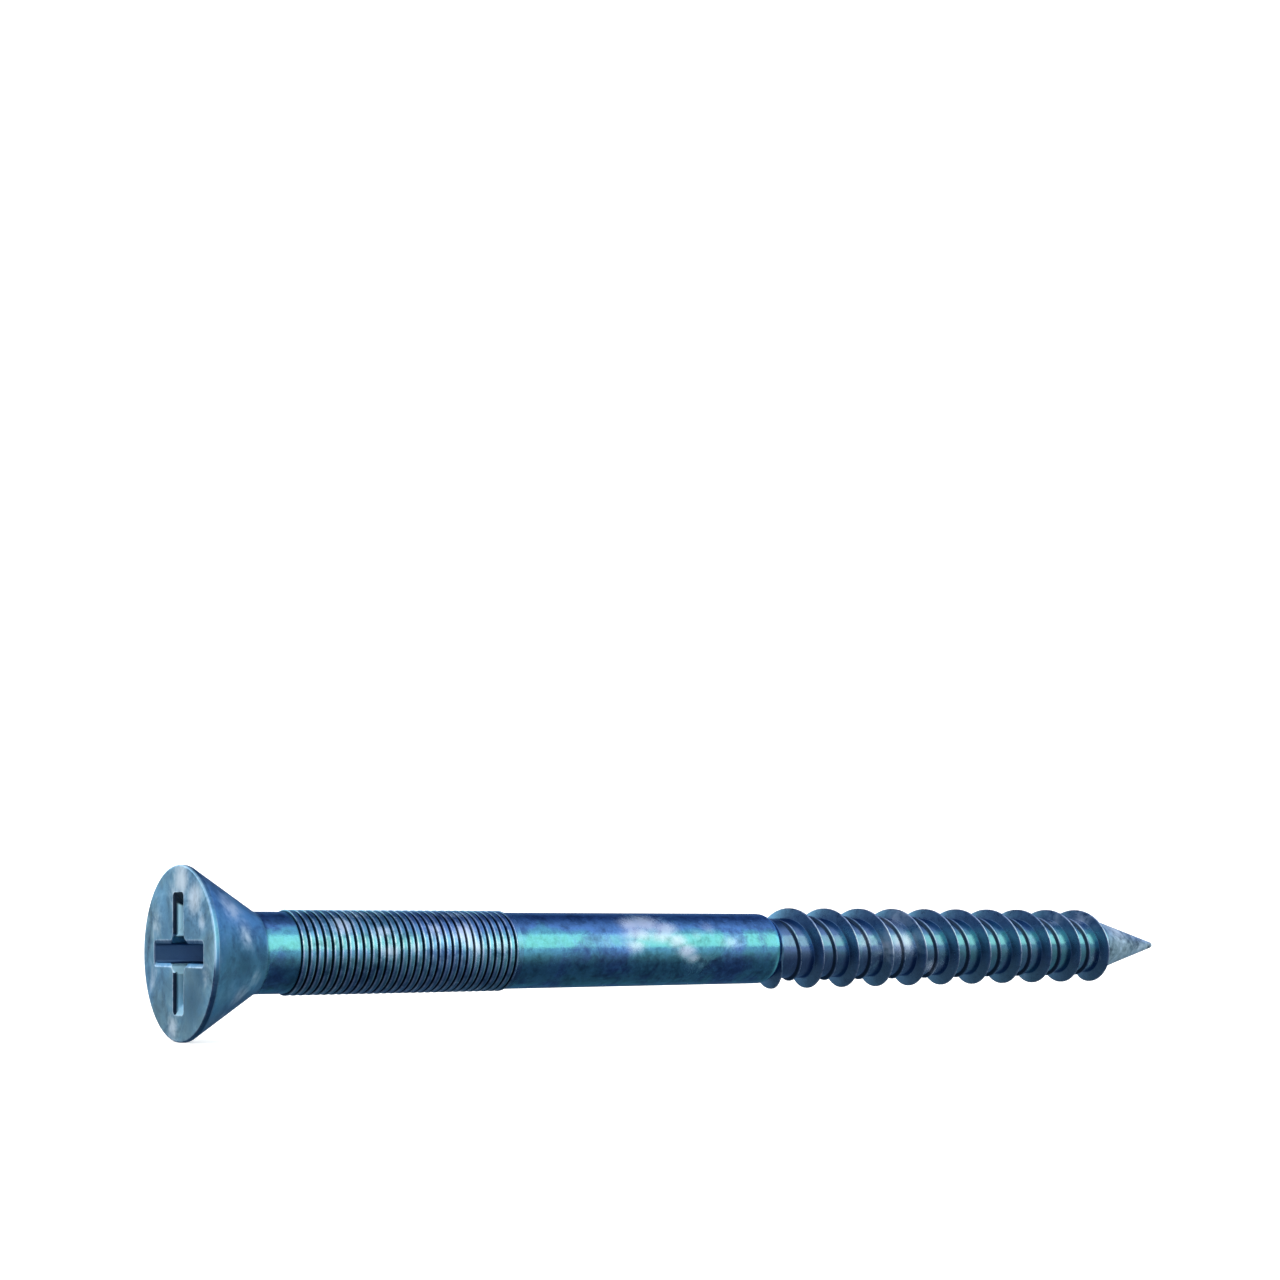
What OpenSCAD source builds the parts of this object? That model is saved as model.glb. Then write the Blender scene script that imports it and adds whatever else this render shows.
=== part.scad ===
// Countersunk wood screw, 5 mm nominal, about 75 mm long.
// Frame: origin at the centre of the head's flat face, +X along the axis from
// the head to the point, +Z up. Millimetres.
// The screw is one cold-headed and thread-rolled piece. Each region of it is a
// separate closed solid that meets its neighbour face to face.

/* [Head] */
// Diameter over the rim
head_d = 8.96; // [8.6:0.02:10]
// Height of the head, from the flat face to the neck
head_h = 3.92; // [3.6:0.02:5]
// Height of the straight rim
rim_h = 0.25; // [0.15:0.05:0.5]
// Small broken edge around the flat face
edge_break = 0.05; // [0.02:0.01:0.1]

/* [Cross recess] */
// Span of the cross, end to end
recess_span = 6.2; // [5.4:0.1:6.4]
// Slot width at the flat face
slot_w = 1.33; // [1.2:0.01:1.5]
// Slot width just under the coined lip
slot_in_w = 0.96; // [0.8:0.01:1.1]
// Slot width at the bottom of the slot
slot_floor_w = 0.90; // [0.7:0.01:1]
// Depth of the coined lip around the slots
lip_depth = 0.08; // [0.04:0.01:0.15]
// Depth of the slots where they meet the pocket
slot_depth = 1.9; // [1.2:0.05:2.2]
// Diameter of the round pocket in the centre
pocket_d = 2.2; // [2:0.05:2.4]
// Depth of the pocket's straight wall
pocket_depth = 2.3; // [2.2:0.05:2.8]
// Radius of the inner corners of the cross
inner_r = 0.30; // [0.15:0.01:0.35]
// Radius of the outer corners of the cross
outer_r = 0.22; // [0.1:0.01:0.35]

/* [Shank] */
// Diameter of the neck and the plain shank
shank_d = 4.28; // [4.2:0.02:4.4]
// Distance from the flat face to the end of the plain shank
shank_end = 37.70; // [34:0.05:38]

/* [Fine rings] */
// Number of rings
ring_n = 30; // [10:1:32]
// Spacing of the rings along the axis
ring_pitch = 0.4468; // [0.4:0.0002:0.5]
// Distance from the flat face to the first ring
ring_start = 5.75; // [5.2:0.05:7]
// Diameter over the rings
ring_d = 4.50; // [4.42:0.02:4.7]
// Diameter at the root between two rings
ring_root_d = 4.22; // [4:0.02:4.3]
// Axial run of each ring's steep side, which faces the head
ring_rise = 0.06; // [0.04:0.01:0.08]
// Width of each ring's crest
ring_crest = 0.26; // [0.1:0.01:0.28]

/* [Coarse thread] */
// Diameter over the high ridge
thread_d = 5.00; // [4.6:0.02:5.6]
// Diameter over the low ridge
low_d = 4.06; // [3.9:0.02:4.3]
// Diameter of the core between the ridges
core_d = 3.70; // [3.5:0.02:3.8]
// Advance of the single-start right-hand thread in one turn
lead = 2.908; // [2.6:0.002:3]
// Length of the threaded core, from the end of the shank to the point
core_len = 30.12; // [28:0.02:31]
// Turns of the high ridge
high_turns = 10.43; // [8:0.01:10.43]
// Turns of the low ridge
low_turns = 9.65; // [8:0.01:9.65]
// Half the width of the high ridge at its base
high_base = 0.30; // [0.2:0.01:0.34]
// Half the width of the high ridge at its crest
high_crest = 0.05; // [0.02:0.01:0.1]
// Half the width of the low ridge at its base
low_base = 0.19; // [0.12:0.01:0.24]
// Half the width of the low ridge at its crest
low_crest = 0.04; // [0.02:0.01:0.08]

/* [Point] */
// Half-angle of the cone point, in degrees
point_half_angle = 14.2; // [12:0.1:20]
// Radius of the rounded end
point_r = 0.22; // [0.12:0.01:0.4]

/* [Hidden] */
$fn = 96;
head_r = head_d / 2;
shank_r = shank_d / 2;
ring_r = ring_d / 2;
ring_root_r = ring_root_d / 2;
core_r = core_d / 2;
// The ring band ends one pitch after its last ring, whose crest is short
ring_end = ring_start + ring_n * ring_pitch + 0.1;
// Short step down from the shank to the core
step_len = 0.10;
core_end = shank_end + core_len;
// Flank directions of the ridges: angle 0 is up (+Z), 90 is towards -Y,
// so a growing angle with a growing X is a right-hand thread.
seg = 36;
turn_step = 360 / seg;
// Where the high ridge's centre line passes angle 0, before it starts
high_s0 = shank_end - 0.453;
high_a0 = 105;
high_a1 = high_a0 + 360 * high_turns;
low_s0 = high_s0 + lead / 2;
low_a0 = 12;
low_a1 = low_a0 + 360 * low_turns;
point_k = tan(point_half_angle);
// Cone point: where its flank would close, and the centre of the rounded end
point_apex = core_end + core_r / point_k;
point_c = point_apex - point_r / sin(point_half_angle);
point_tip = point_c + point_r;

steel_dark = [0.13, 0.24, 0.36];
steel_blue = [0.22, 0.42, 0.60];
steel_teal = [0.32, 0.55, 0.62];
steel_grey = [0.45, 0.58, 0.66];

// Turns a profile of [distance along the axis, radius] points about the X axis
module turned(profile) {
    rotate([0, 90, 0])
        rotate_extrude()
            polygon([for (p = profile) [p[1], p[0]]]);
}

// Outline of one slot through the centre, with rounded outer corners
module slot_outline(span, w, r) {
    square([span - 2 * r, w], center = true);
    square([span, w - 2 * r], center = true);
    for (x = [-1, 1], y = [-1, 1])
        translate([x * (span / 2 - r), y * (w / 2 - r)])
            circle(r = r, $fn = 32);
}

// One slot: sloping floors, drafted sides and a coined lip at the face.
// Its depth runs along +Z and its length along X.
module slot() {
    intersection() {
        rotate([90, 0, 90])
            linear_extrude(height = recess_span + 1, center = true)
                polygon([[-slot_w / 2, -1], [slot_w / 2, -1], [slot_w / 2, 0], [slot_in_w / 2, lip_depth],
                         [slot_floor_w / 2, slot_depth], [-slot_floor_w / 2, slot_depth],
                         [-slot_in_w / 2, lip_depth], [-slot_w / 2, 0]]);
        rotate([90, 0, 0])
            linear_extrude(height = slot_w + 1, center = true)
                polygon([[-recess_span / 2, -1], [recess_span / 2, -1], [recess_span / 2, 0.03],
                         [pocket_d / 2, slot_depth], [-pocket_d / 2, slot_depth], [-recess_span / 2, 0.03]]);
        translate([0, 0, -0.5])
            linear_extrude(height = slot_depth + 1)
                slot_outline(recess_span, slot_w, outer_r);
    }
}

// Rounded inner corners between the slots
module inner_corners() {
    c = slot_w / 2 + inner_r;
    difference() {
        translate([-c, -c, -0.5]) cube([2 * c, 2 * c, slot_depth + 0.5]);
        for (x = [-1, 1], y = [-1, 1])
            translate([x * c, y * c, -1]) cylinder(r = inner_r, h = slot_depth + 2, $fn = 48);
    }
}

module recess() {
    rotate([0, 90, 0]) {
        slot();
        rotate([0, 0, 90]) slot();
        inner_corners();
        translate([0, 0, -0.5]) cylinder(d = pocket_d, h = pocket_depth + 0.5);
        translate([0, 0, pocket_depth]) cylinder(r1 = pocket_d / 2, r2 = 0.25, h = 0.4);
    }
}

module head() {
    color(steel_teal)
        difference() {
            turned([[0, 0], [0, head_r - edge_break], [edge_break, head_r], [rim_h, head_r],
                    [head_h, shank_r], [head_h, 0]]);
            recess();
        }
}

module neck() {
    color(steel_blue)
        turned([[head_h, 0], [head_h, shank_r], [ring_start, shank_r], [ring_start, 0]]);
}

module ring_band() {
    color(steel_grey)
        turned(concat(
            [[ring_start, 0], [ring_start, shank_r]],
            [for (k = [0 : ring_n - 1], q = [0 : 2])
                let (s = ring_start + 0.02 + k * ring_pitch)
                q == 0 ? [s, ring_root_r] :
                q == 1 ? [s + ring_rise, ring_r] :
                         [s + ring_rise + (k < ring_n - 1 ? ring_crest : 0.05), ring_r]],
            [[ring_end, shank_r], [ring_end, 0]]));
}

module shank() {
    color(steel_blue)
        turned([[ring_end, 0], [ring_end, shank_r], [shank_end, shank_r], [shank_end, 0]]);
}

module thread_core() {
    color(steel_blue)
        turned([[shank_end, 0], [shank_end, shank_r], [shank_end + step_len, core_r],
                [core_end, core_r], [core_end, 0]]);
}

// Radius of the surface a ridge stands on, at distance s along the axis
function ground(s) = s <= core_end ? core_r : core_r - (s - core_end) * point_k;

// Height of a ridge, from 0 to 1, with a run-in and a run-out
function rise(a, a0, a1, run_in, run_out) =
    let (t = max(0.04, min(1, (a - a0) / run_in, (a1 - a) / run_out)))
    t * t * (3 - 2 * t) * 0.97 + 0.03;

function at(s, r, a) = [s, -r * sin(a), r * cos(a)];

// A helical ridge of trapezoid section, from angle a0 to a1
module ridge(s0, a0, a1, crest_r, base_w, crest_w, run_in, run_out) {
    n = ceil((a1 - a0) / turn_step);
    lift = 1 / cos(turn_step / 2);
    pts = [for (i = [0 : n])
        let (a = a0 + (a1 - a0) * i / n,
             s = s0 + lead * a / 360,
             h = rise(a, a0, a1, run_in, run_out),
             w = crest_w + (base_w - crest_w) * h,
             top = core_r + (crest_r - core_r) * h)
        each [at(s - w, ground(s - w) * lift, a),
              at(s - crest_w, max(top, ground(s) * lift + 0.004), a),
              at(s + crest_w, max(top, ground(s) * lift + 0.004), a),
              at(s + w, ground(s + w) * lift, a)]];
    sides = [for (i = [0 : n - 1], j = [0 : 3])
        let (a = 4 * i + j, b = 4 * i + (j + 1) % 4)
        each [[a, b, b + 4], [a, b + 4, a + 4]]];
    polyhedron(points = pts,
               faces = concat(sides, [[3, 2, 1], [3, 1, 0],
                                      [4 * n, 4 * n + 1, 4 * n + 2], [4 * n, 4 * n + 2, 4 * n + 3]]),
               convexity = 20);
}

module main_thread() {
    color(steel_dark)
        ridge(high_s0, high_a0, high_a1, thread_d / 2, high_base, high_crest, 70, 60);
}

module low_thread() {
    color(steel_dark)
        ridge(low_s0, low_a0, low_a1, low_d / 2, low_base, low_crest, 40, 60);
}

module point() {
    color(steel_grey)
        turned(concat(
            [[core_end, 0], [core_end, core_r]],
            [for (i = [0 : 7])
                let (t = 90 - point_half_angle - (90 - point_half_angle) * i / 8)
                [point_c + point_r * cos(t), point_r * sin(t)]],
            [[point_tip, 0]]));
}

head();
neck();
ring_band();
shank();
thread_core();
main_thread();
low_thread();
point();
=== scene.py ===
"""Looks of the countersunk wood screw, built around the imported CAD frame.

Row frame, metres: origin at the centre of the head's flat face, +X along the
axis to the point, +Z up with the screw lying. The shapes below are worked out
in millimetres and scaled when each mesh is made.
"""
import math

import bpy
import numpy as np
from mathutils import Matrix, Vector


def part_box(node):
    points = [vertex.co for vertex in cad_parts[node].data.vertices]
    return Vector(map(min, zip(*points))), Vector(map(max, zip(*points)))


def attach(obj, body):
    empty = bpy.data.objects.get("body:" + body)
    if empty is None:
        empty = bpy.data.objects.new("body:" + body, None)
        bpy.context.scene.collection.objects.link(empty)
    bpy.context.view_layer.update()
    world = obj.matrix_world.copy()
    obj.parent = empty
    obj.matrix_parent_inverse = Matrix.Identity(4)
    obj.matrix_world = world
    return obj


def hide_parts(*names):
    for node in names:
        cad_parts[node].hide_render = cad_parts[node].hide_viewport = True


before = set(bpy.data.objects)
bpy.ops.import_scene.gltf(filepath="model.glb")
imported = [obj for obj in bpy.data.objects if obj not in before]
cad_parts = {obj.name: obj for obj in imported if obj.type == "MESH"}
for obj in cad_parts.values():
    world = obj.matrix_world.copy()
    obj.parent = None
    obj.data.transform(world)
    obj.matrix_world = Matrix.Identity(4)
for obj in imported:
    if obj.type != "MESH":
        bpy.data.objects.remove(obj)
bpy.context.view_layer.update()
scene = bpy.context.scene
MM = 0.001


# ---------------------------------------------------------------- dimensions
# The CAD part's own sizes, in millimetres; its boxes give the ends.
def top_of(node, axis=0):
    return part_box(node)[1][axis] / MM


HEAD_R = round(top_of("head", 2), 3)          # 4.48
HEAD_H = round(top_of("head"), 3)             # 3.92
RING_START = round(top_of("neck"), 3)         # 5.75
RING_END = round(top_of("ring_band"), 3)      # 19.254
SHANK_END = round(top_of("shank"), 3)         # 37.70
CORE_END = round(top_of("thread_core"), 3)    # 67.82
TIP = round(top_of("point"), 3)               # 74.454
SHANK_R = round(top_of("shank", 2), 3)        # 2.14
RIM_H = 0.25
RECESS_HALF = 3.1
POCKET_R = 1.1
RING_N = 30
RING_PITCH = 0.4468
RING_R = 2.25
RING_ROOT = 2.11
CORE_R = 1.85
LEAD = 2.908
HIGH_S0, HIGH_A0, HIGH_A1, HIGH_R = SHANK_END - 0.453, 105.0, 105.0 + 360 * 10.43, 2.50
LOW_S0, LOW_A0, LOW_A1, LOW_R = SHANK_END - 0.453 + LEAD / 2, 12.0, 12.0 + 360 * 9.65, 2.03
POINT_K = math.tan(math.radians(14.2))
POINT_R = 0.22
SEG = 240


# ------------------------------------------------------------------- camera
def look(vector_right, vector_up, vector_forward):
    """Rotation whose columns are the camera's right, up and backward axes."""
    f = Vector(vector_forward).normalized()
    r = Vector(vector_right)
    r = (r - f * r.dot(f)).normalized()
    u = r.cross(f)
    return Matrix((r, u, -f)).transposed()


cam_data = bpy.data.cameras.new("camera")
cam = bpy.data.objects.new("camera", cam_data)
scene.collection.objects.link(cam)
scene.camera = cam
cam_data.sensor_fit = "HORIZONTAL"
cam_data.sensor_width = 36.0
cam_data.lens = 55.72
cam_data.shift_x = 0.0
cam_data.shift_y = 0.2148
cam_data.clip_start = 0.005
cam_data.clip_end = 6.0
cam.matrix_world = Matrix.Translation(Vector((-39.861, -94.209, 1.139)) * MM) @ look(
    (0.8084, -0.5886, -0.0018), (-0.0031, -0.0072, 1.0), (0.5886, 0.8084, 0.0077)
).to_4x4()


# ------------------------------------------------------------- mesh helpers
def at(s, r, a):
    """Point at distance s along the axis, radius r, angle a in degrees from
    +Z towards -Y."""
    t = math.radians(a)
    return (s, -r * math.sin(t), r * math.cos(t))


# Where the finish has worn or clouded to a paler grey-lavender: distance
# along the axis, angle, length, width in degrees, strength
CLOUDS = [
    (26.9, 45, 1.0, 20, 0.95),
    (28.0, 42, 1.4, 24, 1.0),
    (29.2, 55, 1.1, 18, 0.95),
    (26.9, 84, 0.8, 14, 0.75),
    (27.3, 62, 1.2, 16, 0.9),
    (28.9, 66, 1.1, 15, 0.85),
    (29.9, 76, 0.8, 14, 0.9),
    (30.5, 92, 0.8, 13, 0.95),
    (31.1, 104, 0.7, 10, 0.75),
    (31.4, 66, 0.6, 14, 0.4),
    (32.4, 52, 0.7, 16, 0.5),
    (34.0, 80, 1.1, 15, 0.5),
    (32.0, 112, 1.3, 18, 0.35),
    (24.8, 80, 0.6, 18, 0.3),
    (8.3, 52, 0.7, 16, 0.85),
    (10.6, 60, 0.8, 14, 0.8),
    (10.9, 88, 0.7, 12, 0.8),
    (12.4, 84, 0.5, 10, 0.55),
    (13.8, 58, 0.6, 16, 0.8),
    (15.6, 62, 0.7, 20, 1.0),
    (16.2, 84, 0.5, 14, 0.8),
    (17.8, 84, 0.6, 16, 0.6),
    (14.9, 28, 1.8, 12, 0.5),
    (10.0, 24, 1.6, 12, 0.5),
    (45.0, 78, 0.9, 30, 0.7),
    (46.4, 92, 1.1, 34, 0.75),
    (48.4, 84, 1.2, 30, 1.0),
    (48.2, 26, 1.3, 30, 0.85),
    (51.0, 132, 1.2, 24, 0.85),
    (57.6, 100, 0.6, 16, 0.3),
    (62.8, 24, 1.2, 26, 0.65),
    (65.9, 24, 1.3, 26, 0.85),
    (66.4, 118, 0.8, 20, 0.5),
    (69.6, 45, 1.3, 40, 0.65),
    (72.0, 100, 1.2, 40, 0.30),
    # the sides that face away
    (25.0, 250, 2.0, 30, 0.9),
    (23.0, 205, 1.2, 24, 0.7),
    (34.0, 215, 1.6, 24, 0.8),
    (21.5, 300, 1.4, 20, 0.7),
    (30.5, 330, 1.6, 16, 0.5),
    (12.0, 240, 1.4, 26, 0.8),
    (8.0, 300, 1.0, 20, 0.7),
    (16.5, 200, 1.0, 24, 0.7),
    (42.0, 270, 1.6, 30, 0.8),
    (55.0, 230, 1.6, 30, 0.8),
    (60.0, 320, 1.4, 30, 0.7),
    (63.0, 190, 1.2, 30, 0.6),
    (70.5, 260, 1.2, 40, 0.5),
]
# The same for the head: point in mm, size, strength
HEAD_CLOUDS = [
    ((0, -0.45, 3.75), 1.05, 0.95),
    ((0, -2.0, 2.75), 0.95, 1.0),
    ((0, -2.9, 1.6), 0.55, 0.7),
    ((0, 2.9, 1.6), 0.9, 0.5),
    ((0, 0.6, 3.1), 0.8, 0.5),
    ((0, 0.75, -3.75), 0.75, 0.75),
    ((0, -3.4, -1.0), 0.6, 0.5),
    ((0, 3.3, -1.6), 0.8, 0.35),
    ((1.3, -2.6, 2.3), 1.1, 0.70),
    ((2.7, -1.9, 1.9), 0.8, 0.10),
    ((2.1, -2.7, 0.9), 0.9, 0.80),
    ((2.1, -2.2, -1.9), 0.8, 0.80),
    ((3.0, -2.3, -1.2), 0.6, 0.45),
    ((1.0, -3.3, -1.9), 0.9, 0.3),
    ((2.5, -2.4, -1.2), 0.7, 0.30),
    ((1.2, -2.2, -3.0), 0.9, 0.35),
    ((1.6, 2.8, 1.8), 1.0, 0.6),
    ((2.0, 1.5, -2.6), 1.0, 0.5),
]
# and where the head is painted darker
HEAD_DARK_PATCHES = [
    ((0, -1.7, -2.3), 1.5, 0.85),
    ((0, -2.6, -0.9), 1.1, 0.85),
    ((0, 1.6, 0.9), 1.1, 0.45),
    ((0, 1.4, -1.5), 1.1, 0.40),
    ((0, -1.2, 1.5), 0.7, 0.55),
    ((0, 2.6, -2.9), 0.9, 0.35),
    ((2.1, -3.1, -0.7), 0.7, 0.60),
    ((3.4, -1.8, -0.9), 0.5, 0.40),
    ((0, 3.2, -1.0), 1.0, 0.50),
    ((0, 1.2, 2.2), 0.7, 0.45),
]


def cloud(s, a):
    """How far the finish has clouded at distance s and angle a, 0 to 1."""
    best = np.zeros_like(s)
    for cs, ca, ls, la, k in CLOUDS:
        da = (a - ca + 180.0) % 360.0 - 180.0
        d2 = ((s - cs) / ls) ** 2 + (da / la) ** 2
        best = np.maximum(best, k * np.exp(-d2))
    return best


def head_cloud(co, spots):
    best = np.zeros(len(co))
    for centre, size, k in spots:
        d2 = ((co - np.array(centre, float)) ** 2).sum(1) / size ** 2
        best = np.maximum(best, k * np.exp(-d2))
    return best


def head_film(co):
    """Where the grey film lies on the head: all of the face, some of the
    cone, none of the rim; bare metal inside the recess."""
    s, r = co[:, 0], np.hypot(co[:, 1], co[:, 2])
    face = (s < 0.002) & (r < HEAD_R - 0.06)
    cone = s > RIM_H
    film = np.where(face, 1.0, np.where(cone, np.clip((s - RIM_H) / 0.5, 0, 1) * 0.18, 0.0))
    inside = (s > 0.002) & (r < RECESS_HALF + 0.01) & (s < 2.75) & (r < HEAD_R - (s - RIM_H) * 0.63 - 0.3)
    return np.where(inside, 0.0, film)


# How far the hue leans from blue to teal along the screw
TEAL_ALONG = [(0, 0.5), (4, 0.6), (5.7, 0.9), (8, 0.9), (12, 0.6), (19, 0.7), (20, 0.9), (24, 0.9), (25.2, 0.35),
              (26.4, 0.3), (27.2, 0.7), (29, 0.9), (32.8, 0.8), (33.6, 0.3), (34.6, 0.4), (35.2, 1.0), (37.6, 1.0), (37.9, 0.25),
              (43.5, 0.25), (47, 0.4), (51, 0.5), (53, 0.9), (64, 0.95), (68, 0.5), (75, 0.5)]


def head_bare(co):
    """Head only, 0 to 1 each: bare metal (the recess floors), painted light (long
    walls of the upright slot, the lower floor and the pocket's mouth, upper rim)
    and painted shadow (the slot's lip and top end, the cross arms, lower rim)."""
    s, y, z = co[:, 0], co[:, 1], co[:, 2]
    inside = (s > 0.012) & (s < 1.95) & (np.maximum(np.abs(y), np.abs(z)) < RECESS_HALF + 0.01)
    inside &= np.minimum(np.abs(y), np.abs(z)) < 0.64
    arm = np.maximum(np.abs(y), np.abs(z))
    length = np.where(s <= 0.03, RECESS_HALF, RECESS_HALF - (RECESS_HALF - POCKET_R) * (s - 0.03) / 1.87)
    floor = np.clip(1 - (length - arm) / 0.10, 0, 1)
    upright = np.abs(z) > np.abs(y)
    # painted light on the upright slot's long walls, strongest on the upper arm's wall at +Y
    wall = inside & upright & (np.abs(y) > 0.40) & (s > 0.085)
    fade = np.clip(1.25 - s / 1.1, 0, 1) * np.clip((s - 0.10) / 0.15, 0, 1)
    painted_light = np.where(wall, np.where(y > 0, np.where(z > 0, 1.0, 0.55), 0.35) * fade, 0.0) * (1 - floor)
    # painted light on the lower arm's floor
    painted_light = np.where(inside & upright & (z < 0) & (floor > 0.3), np.interp(z, [-2.6, -2.3], [0.65, 0.40]), painted_light)
    # painted light in the pocket's mouth below the centre
    in_mouth = (s > 0.004) & (s < 1.4) & (np.hypot(y, z) < 1.16) & (z < -0.50)
    painted_light = np.where(in_mouth, 0.85 * np.clip((1.4 - s) / 0.5, 0, 1), painted_light)
    # painted shadow along the lip of the upright slot
    lip = (s > 0.006) & (s < 0.30) & upright & (y > 0.40) & (y < 0.68) & (arm > 0.95) & (arm < RECESS_HALF)
    painted_shadow = np.where(lip, 0.90 * np.clip((0.18 - s) / 0.08, 0, 1), 0.0)
    # painted shadow at the upper end of the upright slot; the cross arms take a lighter painted shade
    deep = inside & upright & (z > 0) & (arm > 0.9)
    painted_shadow = np.where(inside & ~upright, 0.30, painted_shadow)
    painted_shadow = np.where(deep, np.maximum(painted_shadow, 0.80 * np.clip((z - (2.62 - 0.5 * s)) / 0.06, 0, 1)), painted_shadow)
    painted_light = painted_light * (1 - np.clip(painted_shadow * 1.3, 0, 1))
    # the rim: a painted highlight along its upper face-side edge, painted shade on its lower half and a thin painted
    # dark line behind the edge
    rim = (s < RIM_H + 0.03) & (np.hypot(y, z) > HEAD_R - 0.075)
    above = np.clip((z + 0.8) / 0.6, 0, 1)
    painted_light = np.where(rim, 0.42 * above * np.clip((0.115 - s) / 0.03, 0, 1), painted_light)
    painted_shadow = np.where(rim, np.maximum(0.32 * (1 - above), 0.22 * np.clip((s - 0.12) / 0.05, 0, 1)), painted_shadow)
    return np.where(inside, np.where(upright, 0.25 + 0.75 * floor, 0.45 * floor), 0.0), painted_light, painted_shadow


def piece(name, verts, faces, edge, cavity_shade, node, sharp=32.0):
    """A finished mesh object in metres, with the worn-edge and painted-highlight,
    painted shade and painted light amounts that the materials read. It rides on
    the body and stands for its CAD node."""
    co = np.array(verts, float)
    mesh = bpy.data.meshes.new(name)
    mesh.from_pydata((co * MM).tolist(), [], faces)
    mesh.validate()
    s = co[:, 0]
    a = np.degrees(np.arctan2(-co[:, 1], co[:, 2]))
    none = np.zeros(len(co))
    on_head = node == "head"
    bare, painted_light, painted_shadow = head_bare(co) if on_head else (none, none, none)
    # painted highlight: the hue leans teal on the side where the key light's highlight falls; painted shade darkens
    # the core's top and the rings' undersides
    lit = np.interp(a, [-180, -60, 20, 50, 62, 88, 104, 180], [0.6, 0.5, 0.3, 0.3, 1.0, 1.0, 0.75, 0.7])
    painted_shade = none
    # painted shade: the core darker on top, where the thread shades it
    if node == "thread_core":
        painted_shade = 0.60 * np.clip((52.0 - np.abs(a - 8.0)) / 20.0, 0, 1)
    # painted shade: the rings darker underneath; their teal highlight tint reaches all round
    if node == "ring_band":
        painted_shade = 0.50 * np.clip((np.abs(a) - 105.0) / 20.0, 0, 1)
        lit = np.maximum(lit, 0.75)
    for label, values in (
            ("edge", edge),
            # painted shade in grooves, roots, fillets and the recess, plus the head's painted shadows; none under
            # painted light
            ("hollow_shade", np.maximum(np.array(cavity_shade, float), painted_shadow) * (1.0 - painted_light)),
            ("cloud", head_cloud(co, HEAD_CLOUDS) if on_head else cloud(s, a)),
            # darker patches on the head, painted shade on the core's top and the rings' undersides
            ("dark_patch_and_shade", head_cloud(co, HEAD_DARK_PATCHES) if on_head else painted_shade),
            ("bare", bare),
            ("painted_light", painted_light),
            # hue lean along the screw, times the painted highlight's teal by angle
            ("teal", np.interp(s, *zip(*TEAL_ALONG)) * (1.0 if on_head else lit)),
            ("film", head_film(co) if on_head else none + 1.0)):
        layer = mesh.attributes.new(label, "FLOAT", "POINT")
        layer.data.foreach_set("value", np.asarray(values, np.float32))
    mesh.shade_smooth()
    mesh.set_sharp_from_angle(angle=math.radians(sharp))
    mesh.update()
    obj = bpy.data.objects.new(name, mesh)
    scene.collection.objects.link(obj)
    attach(obj, "root")
    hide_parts(node)
    return obj


def refine(profile, step):
    """Adds points along the long runs of a profile of (s, r, edge, painted shade)."""
    out = [profile[0]]
    for p, q in zip(profile, profile[1:]):
        n = max(1, int(math.ceil(math.hypot(q[0] - p[0], q[1] - p[1]) / step)))
        for i in range(1, n + 1):
            t = i / n
            out.append(tuple(p[j] + (q[j] - p[j]) * t for j in range(4)))
    return out


def lathe(profile, seg=SEG):
    """A closed solid turned about the axis. The profile starts and ends off
    the axis; flat ends close it."""
    verts, faces, edge, cav_shade = [], [], [], []
    for s, r, e, c in profile:
        for j in range(seg):
            verts.append(at(s, r, 360.0 * j / seg))
            edge.append(e)
            cav_shade.append(c)
    n = len(profile)
    for i in range(n - 1):
        for j in range(seg):
            k = (j + 1) % seg
            faces.append((i * seg + j, i * seg + k, (i + 1) * seg + k, (i + 1) * seg + j))
    first = len(verts)
    verts.append((profile[0][0], 0, 0))
    verts.append((profile[-1][0], 0, 0))
    edge += [0, 0]
    cav_shade += [0, 0]
    for j in range(seg):
        k = (j + 1) % seg
        faces.append((first, k, j))
        faces.append((first + 1, (n - 1) * seg + j, (n - 1) * seg + k))
    return verts, faces, edge, cav_shade


def arc(cx, cy, r, a0, a1, n):
    return [(cx + r * math.cos(math.radians(a0 + (a1 - a0) * i / n)),
             cy + r * math.sin(math.radians(a0 + (a1 - a0) * i / n))) for i in range(n + 1)]


# --------------------------------------------------------------------- head
N_A, N_B, N_C, N_D = 4, 6, 12, 8      # points per eighth of the cross outline
EIGHTH = N_A + N_B + N_C + N_D        # 30, so that 8 eighths make SEG


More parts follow.
